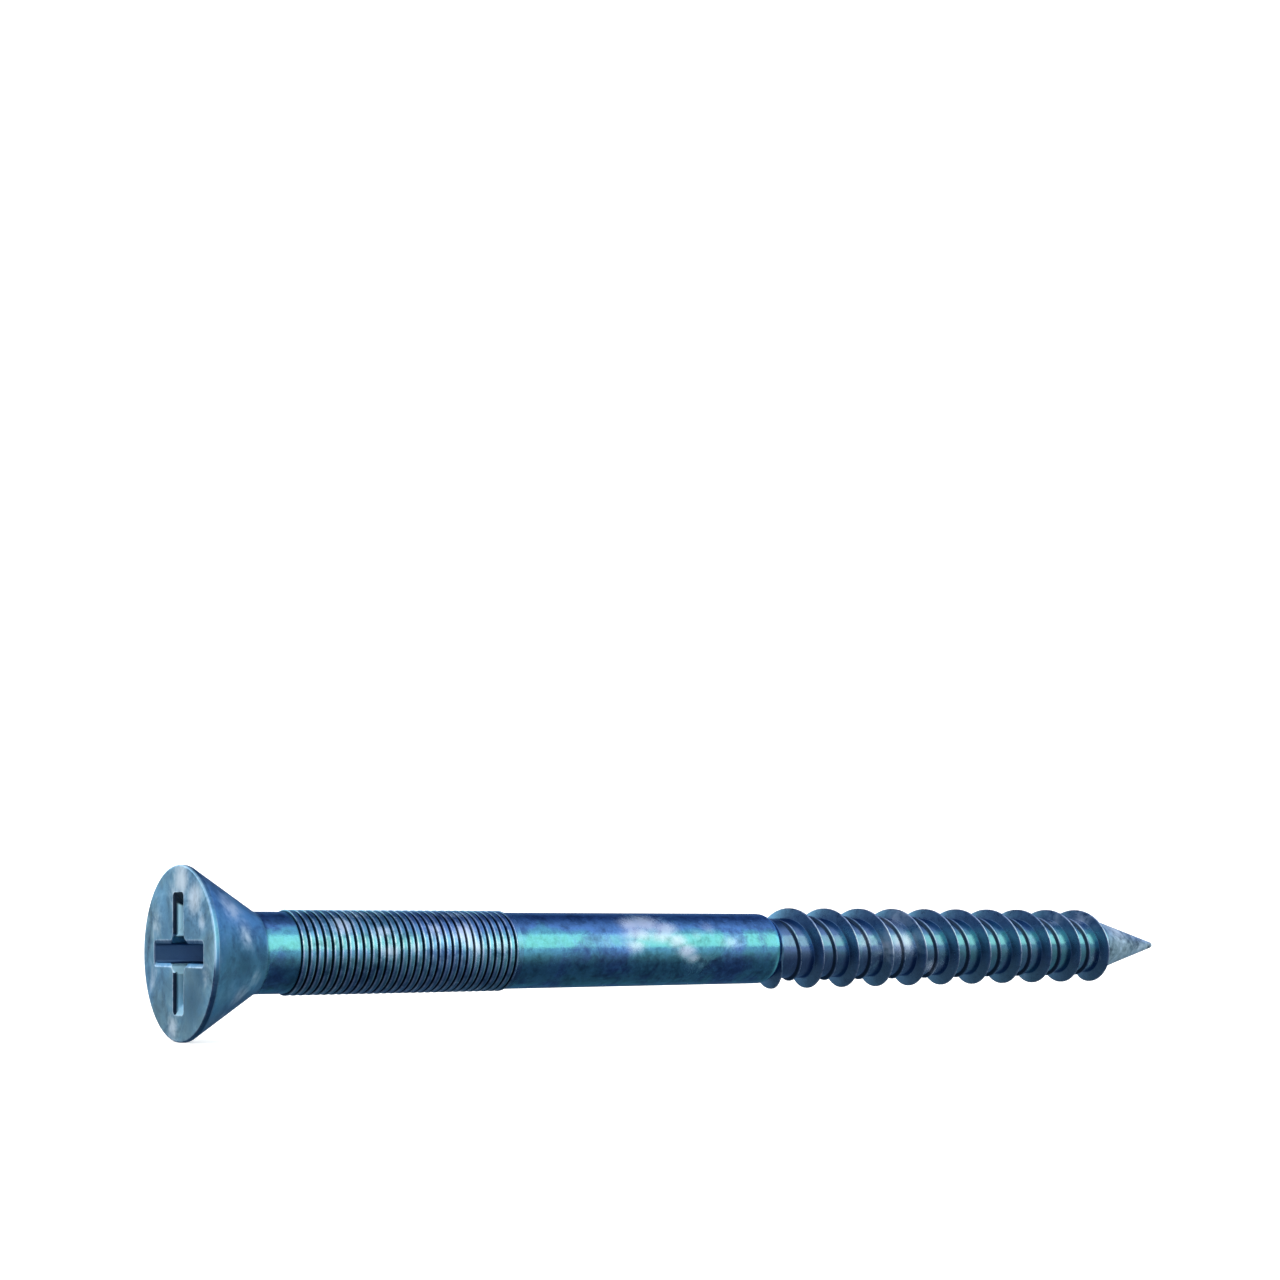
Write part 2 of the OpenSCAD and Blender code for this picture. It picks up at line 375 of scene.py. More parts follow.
def eighth(h, length, rc, pocket, f):
    """Half of one arm's outline, from the middle of its end to the diagonal,
    as (p, q) with p along the arm. Arm half-width h, corner radius rc, round
    pocket in the centre, and rounding f where the arm meets the pocket."""
    pts = []
    rc = min(rc, h * 0.9)
    for i in range(N_A):
        pts.append((length, (h - rc) * i / N_A))
    for i in range(N_B):
        t = math.radians(90.0 * i / N_B)
        pts.append((length - rc + rc * math.cos(t), h - rc + rc * math.sin(t)))
    f_max = (pocket - h * math.sqrt(2)) / (math.sqrt(2) - 1)
    f = min(f, f_max * 0.98)
    cp = math.sqrt((pocket + f) ** 2 - (h + f) ** 2)
    cq = h + f
    start = min(cp, length - rc - 1e-3)
    for i in range(N_C):
        t = i / N_C
        pts.append((length - rc + (start - (length - rc)) * t, h))
    touch = math.degrees(math.atan2(cq, cp))
    n1 = N_D - 3
    for i in range(n1):
        t = i / n1
        a = math.radians(-90.0 + (-180.0 + touch + 90.0) * t)
        pts.append((cp + f * math.cos(a), cq + f * math.sin(a)))
    for i in range(3):
        a = math.radians(touch + (45.0 - touch) * i / 3)
        pts.append((pocket * math.cos(a), pocket * math.sin(a)))
    pts.append((pocket * math.cos(math.pi / 4), pocket * math.sin(math.pi / 4)))
    return pts


def circle_eighth(r, ref):
    """The same number of points on a circle, at the angles of another ring."""
    return [(r * math.cos(math.atan2(q, p)), r * math.sin(math.atan2(q, p))) for p, q in ref]


def full_loop(pts, depth):
    """All four arms from one eighth, as points around the axis."""
    out = []
    for arm in range(4):
        base = 90.0 * arm
        for i in range(EIGHTH, 0, -1):
            p, q = pts[i]
            out.append(at(depth, math.hypot(p, q), base - math.degrees(math.atan2(q, p))))
        for i in range(0, EIGHTH):
            p, q = pts[i]
            out.append(at(depth, math.hypot(p, q), base + math.degrees(math.atan2(q, p))))
    return out


def arm_length(d):
    if d <= 0.03:
        return RECESS_HALF
    return RECESS_HALF - (RECESS_HALF - POCKET_R) * (d - 0.03) / 1.87


def build_head():
    loops, edge, cav_shade = [], [], []

    def add(points, e, c):
        loops.append(points)
        edge.extend([e] * len(points))
        cav_shade.extend([c] * len(points))

    # rings of the flat face, from the rim to the recess
    lip = eighth(0.665 + 0.020, RECESS_HALF + 0.020, 0.235, POCKET_R + 0.02, 0.30)
    outer_angles = [(-45.0 + 90.0 * i / (2 * EIGHTH)) for i in range(0, 2 * EIGHTH)]

    def rim_ring(s, r, e, c):
        pts = []
        for arm in range(4):
            for a in outer_angles:
                pts.append(at(s, r, 90.0 * arm + a))
        add(pts, e, c)

    # back end and outside of the head, from the neck to the face
    prof = []
    fil = 0.75
    slope = math.radians(math.degrees(math.atan2(HEAD_R - SHANK_R, HEAD_H - RIM_H)))
    t_len = fil * math.tan(slope / 2)
    s_end = HEAD_H + t_len
    # the fourth value is painted shade, darkest in the corner against the neck
    for i in range(9):
        t = slope * i / 8
        s = s_end - fil * math.sin(t)
        r = SHANK_R + fil - fil * math.cos(t)
        if s < HEAD_H:
            prof.append((s, r, 0.0, 0.45 * (1 - i / 8)))
    head_back_r = SHANK_R + fil - math.sqrt(fil ** 2 - (s_end - HEAD_H) ** 2)
    prof.insert(0, (HEAD_H, head_back_r, 0.0, 0.5))
    s_c, r_c = s_end - fil * math.sin(slope), SHANK_R + fil - fil * math.cos(slope)
    for i in range(1, 20):
        t = i / 20
        s = s_c + (RIM_H + 0.03 - s_c) * t
        r = r_c + (HEAD_R - 0.018 - r_c) * t
        prof.append((s, r, 0.0, 0.0))
    prof += [(RIM_H + 0.025, HEAD_R - 0.012, 0.1, 0), (RIM_H + 0.008, HEAD_R - 0.003, 0.2, 0),
             (RIM_H - 0.012, HEAD_R, 0.1, 0), (RIM_H - 0.04, HEAD_R, 0.0, 0), (0.11, HEAD_R, 0.0, 0),
             (0.075, HEAD_R, 0.0, 0), (0.05, HEAD_R - 0.004, 0.3, 0), (0.030, HEAD_R - 0.013, 0.35, 0),
             (0.014, HEAD_R - 0.030, 0.35, 0), (0.003, HEAD_R - 0.052, 0.3, 0), (0.0, HEAD_R - 0.075, 0.1, 0),
             (0.0, HEAD_R - 0.12, 0.0, 0)]
    for s, r, e, c in prof:
        rim_ring(s, r, e, c)
    # across the flat face, rings blend from the circle to the cross outline
    outer_r = HEAD_R - 0.12
    outer = []
    for arm in range(4):
        for a in outer_angles:
            outer.append(np.array(at(0, outer_r, 90.0 * arm + a)))
    near = full_loop(eighth(0.665 + 0.06, RECESS_HALF + 0.06, 0.27, POCKET_R + 0.06, 0.30), 0.0)
    near = [np.array(p) for p in near]
    for i in range(1, 14):
        t = i / 14
        add([tuple(o + (n_ - o) * t) for o, n_ in zip(outer, near)], 0.0, 0.0)
    add([tuple(p) for p in near], 0.05, 0.0)
    add(full_loop(lip, 0.0), 0.6, 0.0)
    # down the coined lip, the slots and the pocket
    steps = [  # depth, arm half-width, corner radius, edge, painted shade (darker deeper in)
        (0.003, 0.665, 0.22, 0.8, 0.0),
        (0.010, 0.652, 0.215, 0.8, 0.0),
        (0.020, 0.630, 0.21, 0.5, 0.0),
        (0.050, 0.560, 0.20, 0.3, 0.05),
        (0.072, 0.500, 0.18, 0.1, 0.15),
        (0.090, 0.482, 0.17, 0.0, 0.35),
        (0.120, 0.4785, 0.16, 0.0, 0.30),
        (0.25, 0.476, 0.15, 0.0, 0.20),
        (0.45, 0.473, 0.14, 0.0, 0.20),
        (0.70, 0.469, 0.13, 0.0, 0.25),
        (0.95, 0.465, 0.12, 0.0, 0.30),
        (1.20, 0.461, 0.11, 0.0, 0.35),
        (1.45, 0.457, 0.10, 0.0, 0.40),
        (1.70, 0.453, 0.09, 0.0, 0.45),
        (1.86, 0.4505, 0.08, 0.0, 0.50),
    ]
    last = None
    for d, h, rc, e, c in steps:
        last = eighth(h, arm_length(d), rc, POCKET_R, 0.30)
        add(full_loop(last, d), e, c)
    ring_floor = circle_eighth(POCKET_R, last)
    # the pocket's floor lies in full painted shade
    add(full_loop(ring_floor, 1.90), 0.1, 0.9)
    for d, r, c in ((1.93, 1.09, 0.95), (2.05, 1.085, 1.0), (2.2, 1.08, 1.0), (2.28, 1.05, 1.0), (2.33, 0.97, 1.0),
                    (2.45, 0.75, 1.0), (2.60, 0.45, 1.0), (2.68, 0.26, 1.0), (2.70, 0.18, 1.0)):
        add(full_loop(circle_eighth(r, last), d), 0.0, c)
    verts = [p for ring in loops for p in ring]
    faces = []
    for i in range(len(loops) - 1):
        for j in range(SEG):
            k = (j + 1) % SEG
            # the rings run from the back, over the face and into the recess
            faces.append((i * SEG + j, (i + 1) * SEG + j, (i + 1) * SEG + k, i * SEG + k))
    first = len(verts)
    verts += [(HEAD_H, 0, 0), (2.70, 0, 0)]
    edge += [0, 0]
    cav_shade += [0, 1]
    end = (len(loops) - 1) * SEG
    for j in range(SEG):
        k = (j + 1) % SEG
        faces.append((first, j, k))
        faces.append((first + 1, end + k, end + j))
    return verts, faces, edge, cav_shade


# ----------------------------------------------------------- turned regions
def build_neck():
    fil = 0.75
    slope = math.atan2(HEAD_R - SHANK_R, HEAD_H - RIM_H)
    s_end = HEAD_H + fil * math.tan(slope / 2)
    prof = []
    # the fourth value is painted shade, darkest in the corner under the head
    for i in range(7):
        s = HEAD_H + (s_end - HEAD_H) * i / 6
        r = SHANK_R + fil - math.sqrt(fil ** 2 - (s_end - s) ** 2)
        prof.append((s, r, 0.0, 0.5 * (1 - i / 6)))
    prof += [(5.50, SHANK_R, 0, 0), (5.66, SHANK_R, 0, 0.1), (RING_START, SHANK_R - 0.004, 0, 0.5)]
    return lathe(refine(prof, 0.15))


def build_rings():
    prof = [(RING_START, SHANK_R - 0.004, 0, 0.6)]
    shape = [  # distance past the ring's start, radius, edge (worn crest with a painted highlight), painted shade in the groove
        (0.000, RING_ROOT, 0.0, 1.0),
        (0.018, RING_ROOT + 0.003, 0.0, 1.0),
        (0.032, RING_ROOT + 0.030, 0.0, 0.95),
        (0.046, RING_ROOT + 0.080, 0.0, 0.7),
        (0.058, RING_R - 0.018, 0.5, 0.2),
        (0.070, RING_R - 0.004, 1.0, 0.0),
        (0.085, RING_R, 1.0, 0.0),
        (0.105, RING_R - 0.001, 0.7, 0.0),
        (0.135, RING_R - 0.005, 0.2, 0.0),
        (0.190, RING_R - 0.012, 0.0, 0.0),
        (0.250, RING_R - 0.019, 0.0, 0.0),
        (0.305, RING_R - 0.026, 0.15, 0.0),
        (0.340, RING_R - 0.034, 0.45, 0.0),
        (0.362, RING_R - 0.046, 0.3, 0.0),
        (0.382, RING_R - 0.068, 0.0, 0.2),
        (0.400, RING_R - 0.100, 0.0, 0.6),
        (0.418, RING_ROOT + 0.012, 0.0, 0.9),
        (0.434, RING_ROOT + 0.001, 0.0, 1.0),
    ]
    for k in range(RING_N):
        s0 = RING_START + 0.02 + k * RING_PITCH
        for ds, r, e, c in shape:
            if k < RING_N - 1 or ds < 0.11:
                prof.append((s0 + ds, r, e, c))
    # the last ring is a short crest that falls away to the shank
    for ds, r, e, c in ((0.125, RING_R - 0.012, 0.6, 0), (0.145, RING_R - 0.040, 0.2, 0.1),
                        (0.165, RING_R - 0.075, 0, 0.4), (0.185, SHANK_R + 0.008, 0, 0.5),
                        (0.210, SHANK_R, 0, 0.3), (0.26, SHANK_R, 0, 0.0)):
        prof.append((s0 + ds, r, e, c))
    prof.append((RING_END, SHANK_R, 0, 0))
    prof = [p for i, p in enumerate(prof) if i == 0 or p[0] > prof[i - 1][0] + 1e-6]
    return lathe(prof)


def build_shank():
    prof = [(RING_END, SHANK_R, 0, 0), (SHANK_END - 0.30, SHANK_R, 0, 0), (SHANK_END - 0.20, SHANK_R - 0.004, 0, 0),
            (SHANK_END - 0.10, SHANK_R - 0.016, 0, 0), (SHANK_END, SHANK_R - 0.042, 0, 0)]
    return lathe(refine(prof, 0.16))


def build_core():
    prof = [(SHANK_END, SHANK_R - 0.042, 0, 0.0), (SHANK_END + 0.06, SHANK_R - 0.070, 0, 0.0),
            (SHANK_END + 0.14, SHANK_R - 0.125, 0, 0.05), (SHANK_END + 0.24, 1.945, 0, 0.1),
            (SHANK_END + 0.34, 1.892, 0, 0.15), (SHANK_END + 0.44, 1.862, 0, 0.1), (SHANK_END + 0.54, CORE_R, 0, 0.0),
            (CORE_END, CORE_R, 0, 0)]
    return lathe(refine(prof, 0.12))


def build_point():
    prof = [(CORE_END, CORE_R, 0, 0)]
    apex = CORE_END + CORE_R / POINT_K
    centre = apex - POINT_R / math.sin(math.radians(14.2))
    for i in range(0, 13):
        t = 90.0 - 14.2 - (90.0 - 14.2) * i / 12 * 0.97
        prof.append((centre + POINT_R * math.cos(math.radians(t)), POINT_R * math.sin(math.radians(t)),
                     0.8 if i > 1 else 0.4, 0))
    prof = refine(prof, 0.12)
    prof[-1] = (TIP, prof[-1][1], prof[-1][2], 0)
    return lathe(prof)


# ------------------------------------------------------------------ threads
def ground(s):
    return np.where(s <= CORE_END, CORE_R, CORE_R - (s - CORE_END) * POINT_K)


def smax(a, b, k):
    return np.maximum(a, b) + np.maximum(k - np.abs(a - b), 0) ** 2 / (4 * k)


def smin(a, b, k):
    return np.minimum(a, b) - np.maximum(k - np.abs(a - b), 0) ** 2 / (4 * k)


def build_ridge(s0, a0, a1, crest_r, base_w, crest_w, run_in, run_out, per_turn=120, root=0.05, shade=0.15):
    n = int(math.ceil((a1 - a0) / 360.0 * per_turn))
    verts, faces, edge, cav_shade = [], [], [], []
    rows = None
    for i in range(n + 1):
        a = a0 + (a1 - a0) * i / n
        s = s0 + LEAD * a / 360.0
        t = max(0.04, min(1.0, (a - a0) / run_in, (a1 - a) / run_out))
        h = t * t * (3 - 2 * t) * 0.97 + 0.03
        w = crest_w + (base_w - crest_w) * h
        tall = (crest_r - CORE_R) * h
        pad = 0.07
        u = np.array([-w - pad, -w - pad * 0.6, -w - pad * 0.25, -w, -w + 0.02, -w + 0.045,
                      *(-w + 0.045 + (w - 0.045 - crest_w - 0.03) * x for x in (0.2, 0.4, 0.6, 0.8)),
                      -crest_w - 0.03, -crest_w - 0.015, -crest_w, -crest_w * 0.6, -crest_w * 0.2])
        u = np.concatenate([u, -u[::-1]])
        lin = (w - np.abs(u)) / (w - crest_w) * tall
        shape = smin(smax(np.zeros_like(lin), lin, root * h + 0.004), np.full_like(lin, tall), 0.05 * h + 0.002)
        peak = smin(np.array([max(lin.max(), 0.0)]), np.array([tall]), 0.05 * h + 0.002)[0]
        shape = shape * (tall / max(peak, 1e-6))
        share = shape / max(tall, 1e-6)
        r = ground(s + u) - 0.010 + shape * (tall + 0.010) / max(tall, 1e-6)
        rr = np.concatenate([[ground(np.array([s + u[0]]))[0] - 0.22], r, [ground(np.array([s + u[-1]]))[0] - 0.22]])
        uu = np.concatenate([[u[0]], u, [u[-1]]])
        # worn crest carrying a painted highlight, and painted shade at the ridge's foot
        e = np.concatenate([[0], np.clip((share - 0.90) / 0.08, 0, 1) * min(1, h * 1.2), [0]])
        c = np.concatenate([[shade], np.clip((0.95 - share) * 4.0, 0, 1) * shade, [shade]])
        rows = len(uu)
        for j in range(rows):
            verts.append(at(s + uu[j], rr[j], a))
            edge.append(float(e[j]))
            cav_shade.append(float(c[j]))
    for i in range(n):
        for j in range(rows):
            k = (j + 1) % rows
            faces.append((i * rows + j, (i + 1) * rows + j, (i + 1) * rows + k, i * rows + k))
    faces.append(tuple(range(rows)))
    faces.append(tuple(n * rows + j for j in range(rows - 1, -1, -1)))
    return verts, faces, edge, cav_shade


# ---------------------------------------------------------------- materials
class Nodes:
    """A short way to write a material's node tree."""

    def __init__(self, tree):
        self.tree = tree

    def put(self, kind, **settings):
        node = self.tree.nodes.new(kind)
        for key, value in settings.items():
            setattr(node, key, value)
        return node

    def link(self, out, socket):
        self.tree.links.new(out, socket)

    def set(self, socket, value):
        if isinstance(value, bpy.types.NodeSocket):
            self.link(value, socket)
        else:
            socket.default_value = value

    def math(self, op, a, b=0.5, c=None, clamp=False):
        node = self.put("ShaderNodeMath", operation=op, use_clamp=clamp)
        self.set(node.inputs[0], a)
        self.set(node.inputs[1], b)
        if c is not None:
            self.set(node.inputs[2], c)
        return node.outputs[0]

    def step(self, value, low, high):
        """Smooth step from 0 at low to 1 at high."""
        node = self.put("ShaderNodeMapRange", interpolation_type="SMOOTHSTEP")
        self.set(node.inputs["Value"], value)
        node.inputs["From Min"].default_value = low
        node.inputs["From Max"].default_value = high
        return node.outputs["Result"]

    def mix(self, factor, a, b, mode="MIX"):
        node = self.put("ShaderNodeMix", data_type="RGBA", blend_type=mode)
        self.set(node.inputs[0], factor)
        self.set(node.inputs[6], a if isinstance(a, bpy.types.NodeSocket) else (*a, 1.0))
        self.set(node.inputs[7], b if isinstance(b, bpy.types.NodeSocket) else (*b, 1.0))
        return node.outputs[2]

    def noise(self, vector, scale, detail=4.0, rough=0.55, distort=0.0, offset=None):
        if offset is not None:
            shift = self.put("ShaderNodeVectorMath", operation="ADD")
            self.link(vector, shift.inputs[0])
            shift.inputs[1].default_value = offset
            vector = shift.outputs[0]
        node = self.put("ShaderNodeTexNoise")
        self.link(vector, node.inputs["Vector"])
        node.inputs["Scale"].default_value = scale
        node.inputs["Detail"].default_value = detail
        node.inputs["Roughness"].default_value = rough
        node.inputs["Distortion"].default_value = distort
        return node.outputs["Fac"]

    def attribute(self, name):
        return self.put("ShaderNodeAttribute", attribute_name=name).outputs["Fac"]


BLUE = (0.125, 0.290, 0.520)
TEAL = (0.130, 0.440, 0.480)
NAVY = (0.045, 0.110, 0.230)
PALE = (0.620, 0.680, 0.800)
GREY = (0.300, 0.480, 0.560)
# pale worn metal, also standing for a painted highlight along crests and rims
WORN_AND_SHEEN = (0.700, 0.820, 0.900)
# near-black colour of the painted shade in grooves, roots and the recess
PAINTED_SHADE_COLOUR = (0.006, 0.012, 0.030)
BARE = (0.360, 0.560, 0.620)
# colour of the painted light on the recess walls and the rim
PAINTED_LIGHT_COLOUR = (0.460, 0.800, 1.000)


def steel(name, body, second, pale_reach=1.0, ragged_k=1.3, speckle=0.4, pale_colour=PALE, second_reach=0.5, metallic=1.0, rough=0.27, wear_and_sheen=1.0,
          patina=0.0, patina_colour=GREY, mottle=0.6, offset=(0.0, 0.0, 0.0)):
    """Blued steel with clouded patches, fine grain, worn edges carrying a painted
    highlight, painted shade in the hollows, and painted light and shadow where
    the attributes place them. Everything is placed by object coordinates."""
    mat = bpy.data.materials.new(name)
    mat.use_nodes = True
    tree = mat.node_tree
    tree.nodes.clear()
    n = Nodes(tree)
    out = n.put("ShaderNodeOutputMaterial")
    bsdf = n.put("ShaderNodeBsdfPrincipled")
    n.link(bsdf.outputs[0], out.inputs[0])
    coord = n.put("ShaderNodeTexCoord").outputs["Object"]
    move = n.put("ShaderNodeVectorMath", operation="ADD")
    n.link(coord, move.inputs[0])
    move.inputs[1].default_value = offset
    p = move.outputs[0]

    broad = n.noise(p, 210.0, 4.0, 0.55, 0.6)
    mid = n.noise(p, 620.0, 5.0, 0.62, 0.9, (0.31, 0.17, 0.53))
    fine = n.noise(p, 2600.0, 4.0, 0.65, 0.3, (0.71, 0.47, 0.13))
    grain = n.noise(p, 9000.0, 3.0, 0.6, 0.0, (0.11, 0.93, 0.29))
    edge = n.attribute("edge")
    hollow_shade = n.attribute("hollow_shade")
    clouds = n.attribute("cloud")

    # body colour, with a second hue drifting through it
    lean = n.math("MULTIPLY_ADD", n.math("SUBTRACT", n.attribute("teal"), 0.5), 0.42, broad)
    hue = n.step(n.math("ADD", lean, n.math("MULTIPLY", n.math("SUBTRACT", mid, 0.5), 0.7)), 0.36, 0.64)
    colour = n.mix(n.math("MULTIPLY", hue, second_reach), body, second)
    # darker, bluer washes
    wash = n.step(n.math("ADD", mid, n.math("MULTIPLY", n.math("SUBTRACT", fine, 0.5), 0.35)), 0.50, 0.72)
    colour = n.mix(n.math("MULTIPLY", wash, 0.42), colour, NAVY)
    # fine variation of value
    tone = n.math("MULTIPLY_ADD", n.math("ADD", fine, n.math("MULTIPLY", grain, 0.5)), 0.75, 0.44)
    tone = n.math("ADD", tone, n.math("MULTIPLY", n.math("SUBTRACT", mid, 0.5), mottle))
    grey = n.put("ShaderNodeCombineColor")
    for i in range(3):
        n.link(tone, grey.inputs[i])
    colour = n.mix(1.0, colour, grey.outputs[0], "MULTIPLY")
    # patina: a thin greyer film
    film = n.step(n.math("ADD", broad, n.math("MULTIPLY", n.math("SUBTRACT", fine, 0.5), 0.6)), 0.38, 0.66)
    film = n.math("MULTIPLY_ADD", film, 0.45, 0.55)
    film = n.math("MULTIPLY", n.math("MULTIPLY", film, patina), n.attribute("film"))
    colour = n.mix(film, colour, patina_colour)
    # watercolour-like variation within the film
    blotch = n.math("ADD", n.math("MULTIPLY", n.math("SUBTRACT", mid, 0.5), 2.1),
                    n.math("MULTIPLY", n.math("SUBTRACT", fine, 0.5), 1.5))
    blotch = n.math("MULTIPLY_ADD", n.math("MULTIPLY", blotch, mottle - 0.6), n.attribute("film"), 1.0)
    shade = n.put("ShaderNodeCombineColor")
    for i in range(3):
        n.link(blotch, shade.inputs[i])
    colour = n.mix(1.0, colour, shade.outputs[0], "MULTIPLY")
    # darker patches on the head, and painted shade on the core's top and the rings' undersides
    dark_patch_and_shade = n.math("MULTIPLY", n.attribute("dark_patch_and_shade"), n.step(n.math("ADD", mid, n.math("MULTIPLY", fine, 0.4)), 0.45, 0.85))
    dark_patch_and_shade = n.math("MULTIPLY", n.math("ADD", dark_patch_and_shade, n.attribute("dark_patch_and_shade")), 0.5)
    colour = n.mix(dark_patch_and_shade, colour, (0.030, 0.085, 0.130))
    # pale clouds, broken up by noise
    flecks = n.math("SUBTRACT", n.math("ADD", mid, n.math("MULTIPLY", fine, speckle)), 0.5 + 0.5 * speckle)
    ragged = n.math("ADD", n.math("MULTIPLY", clouds, pale_reach), n.math("MULTIPLY", flecks, ragged_k))
    pale = n.step(ragged, 0.12, 1.08)
    colour = n.mix(n.math("MULTIPLY", pale, 0.75), colour, pale_colour)
    # bare metal inside the recess, and painted light on its walls and on the rim
    bare = n.attribute("bare")
    colour = n.mix(n.math("MULTIPLY", bare, 0.9), colour, BARE)
    painted_light = n.attribute("painted_light")
    colour = n.mix(painted_light, colour, PAINTED_LIGHT_COLOUR)
    # worn edges, also a painted highlight along crests and rims, and painted shade in the hollows
    rubbed_and_sheen = n.math("MULTIPLY", edge, n.step(n.math("ADD", fine, n.math("MULTIPLY", mid, 0.6)), 0.55, 0.95))
    rubbed_and_sheen = n.math("MULTIPLY", rubbed_and_sheen, wear_and_sheen, clamp=True)
    colour = n.mix(rubbed_and_sheen, colour, WORN_AND_SHEEN)
    dark = n.math("MULTIPLY", n.step(hollow_shade, 0.05, 1.0), 0.93)
    colour = n.mix(dark, colour, PAINTED_SHADE_COLOUR)
    n.link(colour, bsdf.inputs["Base Color"])

    # gloss: washes and clouds are duller, worn metal is brighter
    r = n.math("MULTIPLY_ADD", n.math("SUBTRACT", fine, 0.5), 0.30, rough)
    r = n.math("ADD", r, n.math("MULTIPLY", pale, 0.12))
    r = n.math("ADD", r, n.math("MULTIPLY", film, 0.14))
    r = n.math("ADD", r, n.math("MULTIPLY", dark, 0.25))
    r = n.math("SUBTRACT", r, n.math("MULTIPLY", rubbed_and_sheen, 0.05), clamp=True)
    n.link(r, bsdf.inputs["Roughness"])
    m = n.math("SUBTRACT", metallic, n.math("MULTIPLY", pale, 0.25), clamp=True)
    m = n.math("SUBTRACT", m, n.math("MULTIPLY", film, 0.30), clamp=True)
    # where light is painted in, the surface turns matt so that the painted colour shows
    m = n.math("SUBTRACT", m, n.math("MULTIPLY", painted_light, 0.9), clamp=True)
    n.link(m, bsdf.inputs["Metallic"])
    bsdf.inputs["Specular Tint"].default_value = (0.55, 0.72, 1.0, 1.0)

    bump = n.put("ShaderNodeBump")
    bump.inputs["Strength"].default_value = 0.35
    bump.inputs["Distance"].default_value = 0.00002
    n.link(n.math("ADD", n.math("MULTIPLY", fine, 0.8), n.math("MULTIPLY", grain, 0.35)), bump.inputs["Height"])
    n.link(bump.outputs[0], bsdf.inputs["Normal"])
    return mat


head_steel = steel("blued_steel_head", (0.128, 0.300, 0.490), (0.115, 0.355, 0.460), metallic=1.0, rough=0.34,
                   patina=0.90, patina_colour=(0.158, 0.248, 0.272), mottle=1.6, pale_colour=(0.66, 0.71, 0.75))
shank_steel = steel("blued_steel_shank", BLUE, TEAL, rough=0.20, second_reach=1.0, ragged_k=0.85, speckle=0.12,
                    mottle=1.1)
ring_steel = steel("blued_steel_rings", (0.155, 0.335, 0.560), (0.155, 0.430, 0.500), rough=0.24, second_reach=1.0, wear_and_sheen=1.0, mottle=1.2,
                   offset=(0.4, 0.2, 0.1))
core_steel = steel("blued_steel_core", (0.160, 0.270, 0.400), (0.145, 0.375, 0.410), rough=0.20, second_reach=1.0, pale_reach=0.72, speckle=0.2,
                   offset=(0.3, 0.6, 0.1))
thread_steel = steel("blued_steel_thread", (0.160, 0.305, 0.430), (0.150, 0.340, 0.420), rough=0.30, wear_and_sheen=0.60,
                     pale_reach=0.75, offset=(0.1, 0.5, 0.7))
point_steel = steel("blued_steel_point", (0.165, 0.280, 0.370), (0.170, 0.320, 0.375), metallic=1.0, rough=0.38,
                    patina=0.70, patina_colour=(0.225, 0.305, 0.345), mottle=1.7, offset=(0.8, 0.1, 0.4))

parts = [
    ("screw_head", build_head(), "head", "head_finish", head_steel),
    ("screw_neck", build_neck(), "neck", "shank_finish", shank_steel),
    ("screw_ring_band", build_rings(), "ring_band", "ring_finish", ring_steel),
    ("screw_shank", build_shank(), "shank", "shank_finish", shank_steel),
    ("screw_thread_core", build_core(), "thread_core", "core_finish", core_steel),
    ("screw_main_thread", build_ridge(HIGH_S0, HIGH_A0, HIGH_A1, HIGH_R, 0.30, 0.05, 70, 60, root=0.04, shade=0.10), "main_thread",
     "thread_finish", thread_steel),
    ("screw_low_thread", build_ridge(LOW_S0, LOW_A0, LOW_A1, LOW_R, 0.19, 0.04, 40, 60, root=0.03, shade=0.75), "low_thread",
     "thread_finish", thread_steel),
    ("screw_point", build_point(), "point", "point_finish", point_steel),
]
for name, (verts, faces, edge, cav_shade), node, slot, material in parts:
    obj = piece(name, verts, faces, edge, cav_shade, node)
    obj.data.materials.append(material)


